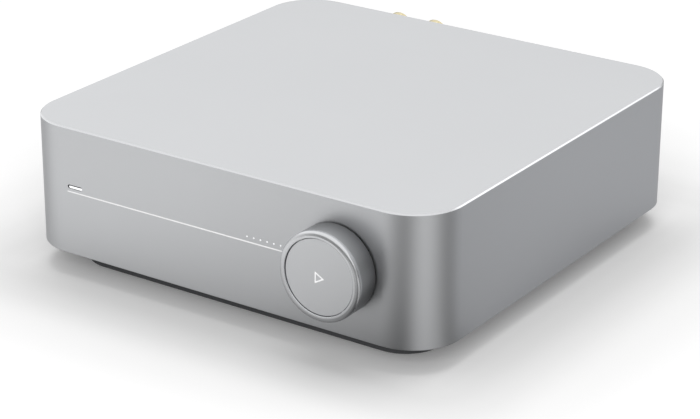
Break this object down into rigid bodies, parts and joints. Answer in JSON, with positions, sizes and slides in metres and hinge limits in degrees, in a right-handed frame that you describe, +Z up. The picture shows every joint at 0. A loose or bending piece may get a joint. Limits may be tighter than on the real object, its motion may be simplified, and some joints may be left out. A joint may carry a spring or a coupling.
{
  "type": "streaming amplifier",
  "caption": "Compact square streaming amplifier with a rounded silver case on a dark plinth, a push-and-turn volume knob in front, speaker posts and sockets behind.",
  "frame": {"origin": "middle of the whole object's footprint, on the surface it stands on", "axes": "+Z up, +Y towards the rear sockets, the knob faces -Y, +X to the right seen from the front"},
  "size_m": [0.19, 0.2216, 0.063],
  "materials": {
    "case_aluminium": "fine bead-blasted and anodised, satin silver",
    "knob_aluminium": "fine bead-blasted and anodised, satin silver",
    "plinth_plastic": "dark grey, fine moulded grain",
    "foot_rubber": "matt black",
    "rear_plastic": "black, fine moulded grain",
    "socket_plastic": "black moulded",
    "red_plastic": "red moulded",
    "white_plastic": "white moulded",
    "light_guide": "milky clear light guide",
    "white_enamel": "white enamel fill",
    "gold_plate": "gold plated, polished",
    "nickel_plate": "nickel plated",
    "steel": "zinc plated",
    "dark_steel": "black oxide",
    "board": "green solder mask on glass laminate",
    "chip_resin": "black moulded resin",
    "ferrite": "sintered dark grey",
    "winding_tape": "yellow polyester tape",
    "capacitor_sleeve": "dark blue shrink sleeve",
    "film_box": "red moulded box",
    "heat_sink_aluminium": "extruded, clear anodised",
    "flat_cable": "white flat cable",
    "antenna_film": "black flexible circuit"
  },
  "bodies": {
    "chassis": {"case_shell": "case_aluminium", "base_plate": "plinth_plastic", "foot_ring": "foot_rubber", "base_screws": "dark_steel", "rear_panel": "rear_plastic", "post_studs": "gold_plate", "post_collars_red": "red_plastic", "post_collars_black": "socket_plastic", "post_nuts": "nickel_plate", "phono_block": "socket_plastic", "phono_sleeves": "gold_plate", "phono_core_black": "socket_plastic", "phono_core_red": "red_plastic", "phono_core_white": "white_plastic", "optical_socket": "socket_plastic", "hdmi_shell": "nickel_plate", "hdmi_tongue": "socket_plastic", "usb_shell": "nickel_plate", "usb_tongue": "white_plastic", "network_shell": "nickel_plate", "network_contacts": "gold_plate", "mains_inlet": "socket_plastic", "mains_pins": "nickel_plate", "main_board": "board", "power_board": "board", "front_board": "board", "board_standoffs": "steel", "board_screws": "steel", "ribbon_cable": "flat_cable", "transformer_core": "ferrite", "transformer_winding": "winding_tape", "bulk_capacitor": "capacitor_sleeve", "line_choke": "ferrite", "amp_chip": "chip_resin", "amp_heat_sink": "heat_sink_aluminium", "output_inductors": "ferrite", "filter_capacitors": "film_box", "radio_shield": "nickel_plate", "antennas": "antenna_film", "status_lens": "light_guide", "level_lens": "light_guide", "front_line": "white_enamel", "light_chips": "white_plastic", "encoder_body": "steel", "encoder_nut": "steel"},
    "plunger": {"switch_plunger": "socket_plastic"},
    "knob": {"encoder_shaft": "steel", "knob_bush": "socket_plastic", "knob_ring": "knob_aluminium", "knob_face": "knob_aluminium", "play_mark": "white_enamel"},
    "shutter": {"optical_shutter": "socket_plastic"},
    "post_washer_body_1": {"post_washer_1": "gold_plate"},
    "post_cap_body_1": {"post_cap_1": "gold_plate"},
    "post_washer_body_2": {"post_washer_2": "gold_plate"},
    "post_cap_body_2": {"post_cap_2": "gold_plate"},
    "post_washer_body_3": {"post_washer_3": "gold_plate"},
    "post_cap_body_3": {"post_cap_3": "gold_plate"},
    "post_washer_body_4": {"post_washer_4": "gold_plate"},
    "post_cap_body_4": {"post_cap_4": "gold_plate"}
  },
  "joints": [
    {"name": "knob_press", "type": "slide", "parent": "chassis", "child": "plunger", "axis": [0, 1, 0], "range_m": [0, 0.0005], "stiffness_N_per_m": 2000},
    {"name": "knob_turn", "type": "hinge", "parent": "plunger", "child": "knob", "pos_m": [0.0551, -0.09915, 0.0365], "axis": [0, 1, 0], "continuous": true},
    {"name": "shutter_swing", "type": "hinge", "parent": "chassis", "child": "shutter", "pos_m": [-0.00279, 0.08835, 0.0308], "axis": [-1, 0, 0], "range_deg": [0, 90], "stiffness_Nm_per_rad": 0.001},
    {"name": "post_lift_1", "type": "slide", "parent": "chassis", "child": "post_washer_body_1", "axis": [0, 1, 0], "range_m": [0, 0.00375]},
    {"name": "post_turn_1", "type": "hinge", "parent": "post_washer_body_1", "child": "post_cap_body_1", "pos_m": [-0.0547, 0.10085, 0.05025], "axis": [0, 1, 0], "range_deg": [0, 1800]},
    {"name": "post_lift_2", "type": "slide", "parent": "chassis", "child": "post_washer_body_2", "axis": [0, 1, 0], "range_m": [0, 0.00375]},
    {"name": "post_turn_2", "type": "hinge", "parent": "post_washer_body_2", "child": "post_cap_body_2", "pos_m": [-0.0547, 0.10085, 0.0312], "axis": [0, 1, 0], "range_deg": [0, 1800]},
    {"name": "post_lift_3", "type": "slide", "parent": "chassis", "child": "post_washer_body_3", "axis": [0, 1, 0], "range_m": [0, 0.00375]},
    {"name": "post_turn_3", "type": "hinge", "parent": "post_washer_body_3", "child": "post_cap_body_3", "pos_m": [-0.03565, 0.10085, 0.05025], "axis": [0, 1, 0], "range_deg": [0, 1800]},
    {"name": "post_lift_4", "type": "slide", "parent": "chassis", "child": "post_washer_body_4", "axis": [0, 1, 0], "range_m": [0, 0.00375]},
    {"name": "post_turn_4", "type": "hinge", "parent": "post_washer_body_4", "child": "post_cap_body_4", "pos_m": [-0.03565, 0.10085, 0.0312], "axis": [0, 1, 0], "range_deg": [0, 1800]}
  ],
  "couplings": [
    {"joint": "post_lift_1", "follows": "post_turn_1", "m_per_rad": 0.00011937},
    {"joint": "post_lift_2", "follows": "post_turn_2", "m_per_rad": 0.00011937},
    {"joint": "post_lift_3", "follows": "post_turn_3", "m_per_rad": 0.00011937},
    {"joint": "post_lift_4", "follows": "post_turn_4", "m_per_rad": 0.00011937}
  ]
}
